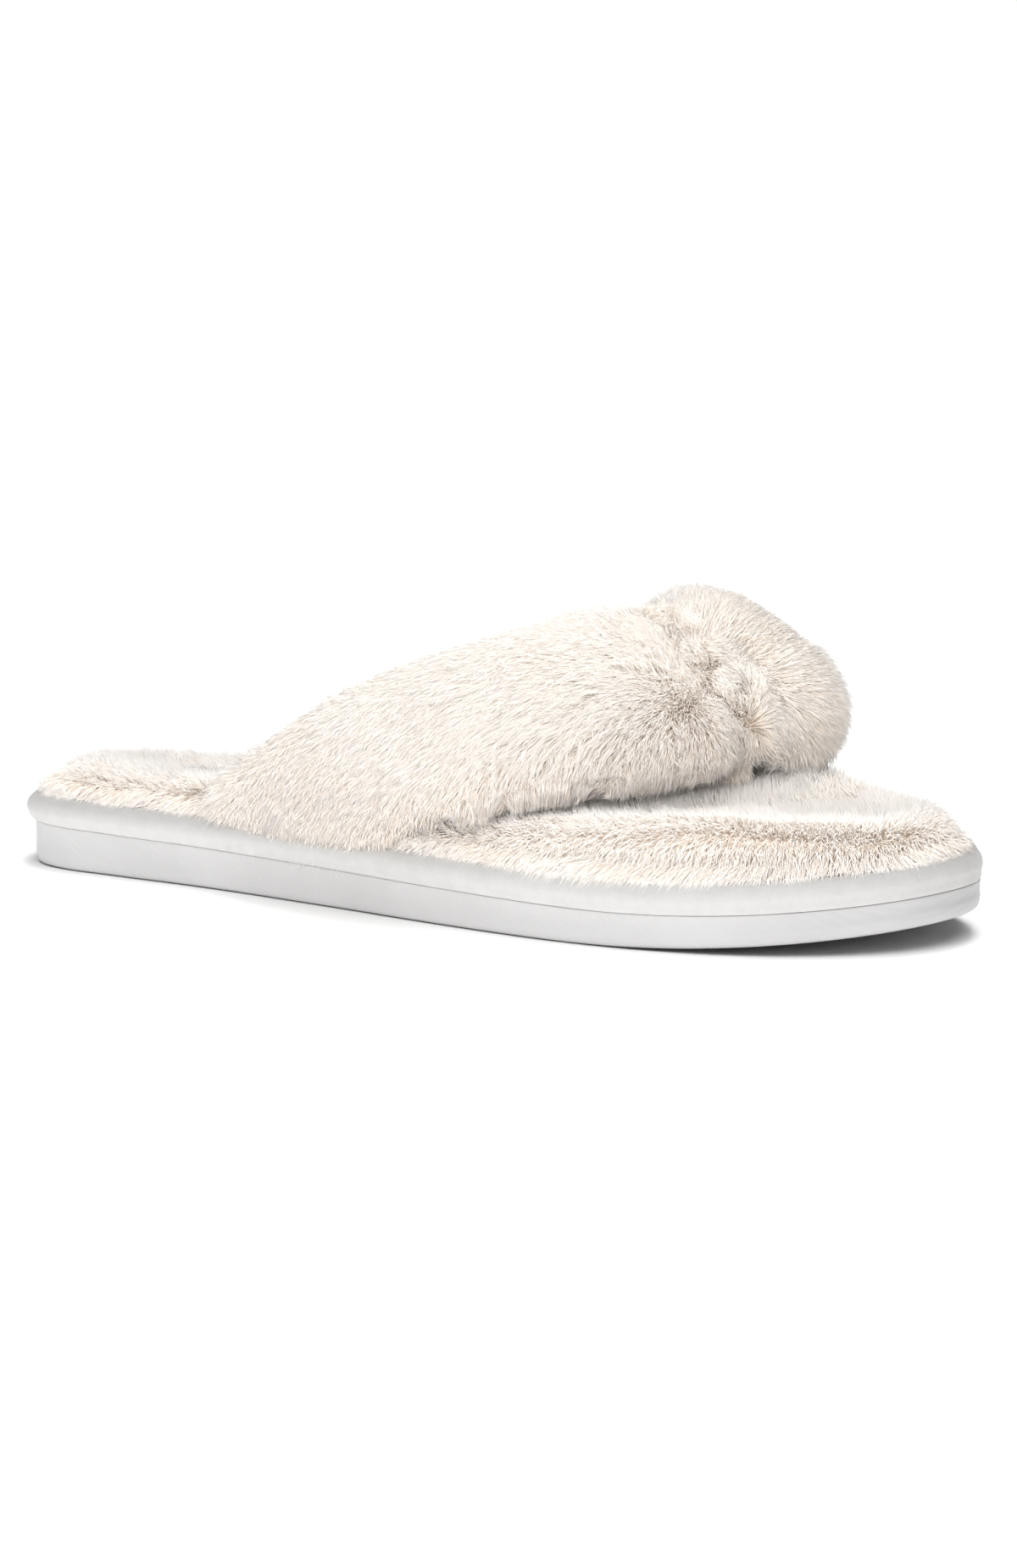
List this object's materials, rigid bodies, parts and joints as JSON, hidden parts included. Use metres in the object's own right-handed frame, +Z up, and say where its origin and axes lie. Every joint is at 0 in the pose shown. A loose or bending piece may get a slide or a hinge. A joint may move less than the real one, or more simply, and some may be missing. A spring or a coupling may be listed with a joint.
{
  "type": "fluffy thong slipper",
  "caption": "Flat thong house slipper for the right foot: wedge outsole, padded rand, pile footbed and two puffed pile straps meeting at a toe post.",
  "frame": {"origin": "middle of the slipper's box, on the floor under the outsole", "axes": "+X from heel to toe, +Y towards the inner side of the right foot, +Z up from the floor"},
  "size_m": [0.2578, 0.097, 0.0739],
  "materials": {
    "outsole_rubber": "white moulded sole, fine diagonal mould marks, satin",
    "rand_fabric": "white brushed microfibre, fine suede grain, matt",
    "footbed_pile": "short dense cream faux fur pile",
    "strap_pile": "long soft cream faux fur pile with peach-tan roots",
    "foam": "open-cell padding foam, matt",
    "board": "pressed fibre board, matt",
    "lining": "knitted fleece lining, matt",
    "webbing": "woven cotton tape, matt",
    "thread": "twisted polyester thread",
    "label": "blank woven satin label",
    "anchor": "moulded nylon washer"
  },
  "bodies": {
    "root": {"outsole": "outsole_rubber", "midsole": "foam", "rand_cover": "rand_fabric", "rand_padding": "foam", "insole_board": "board", "footbed_foam": "foam", "footbed_pile_cover": "footbed_pile", "heel_label": "label", "welt_thread": "thread", "strap_pile_cover_outer": "strap_pile", "strap_pile_cover_inner": "strap_pile", "strap_padding_outer": "foam", "strap_padding_inner": "foam", "strap_lining_outer": "lining", "strap_lining_inner": "lining", "strap_tab_outer": "webbing", "strap_tab_inner": "webbing", "thong_webbing": "webbing", "toe_post_cover": "strap_pile", "thong_anchor": "anchor"}
  },
  "joints": []
}
